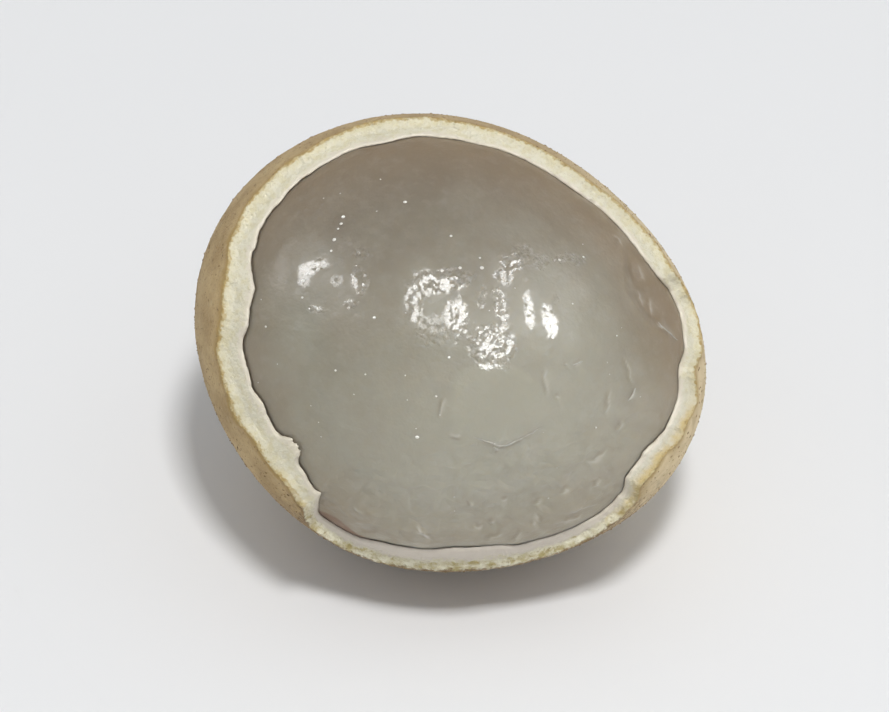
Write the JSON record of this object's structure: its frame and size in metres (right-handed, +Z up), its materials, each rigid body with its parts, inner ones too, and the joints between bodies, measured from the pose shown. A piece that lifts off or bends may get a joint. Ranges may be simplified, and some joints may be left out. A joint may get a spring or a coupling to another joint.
{
  "type": "half-peeled longan fruit",
  "caption": "Small round fruit with its near half peeled: translucent flesh stands as a dome out of a thin, rough rind with a torn, pale edge.",
  "frame": {"origin": "on the surface that the fruit rests on, under the middle of its bounding box", "axes": "+Z up; the opening faces -Y and up, leaning 45 degrees; +X to the right of someone who looks into the opening"},
  "size_m": [0.0256, 0.0222, 0.0221],
  "materials": {
    "rind": "dry, rough, tan skin with a cream cut edge",
    "flesh": "wet, glossy, translucent grey-beige"
  },
  "bodies": {
    "root": {"rind": "rind", "flesh": "flesh"}
  },
  "joints": []
}
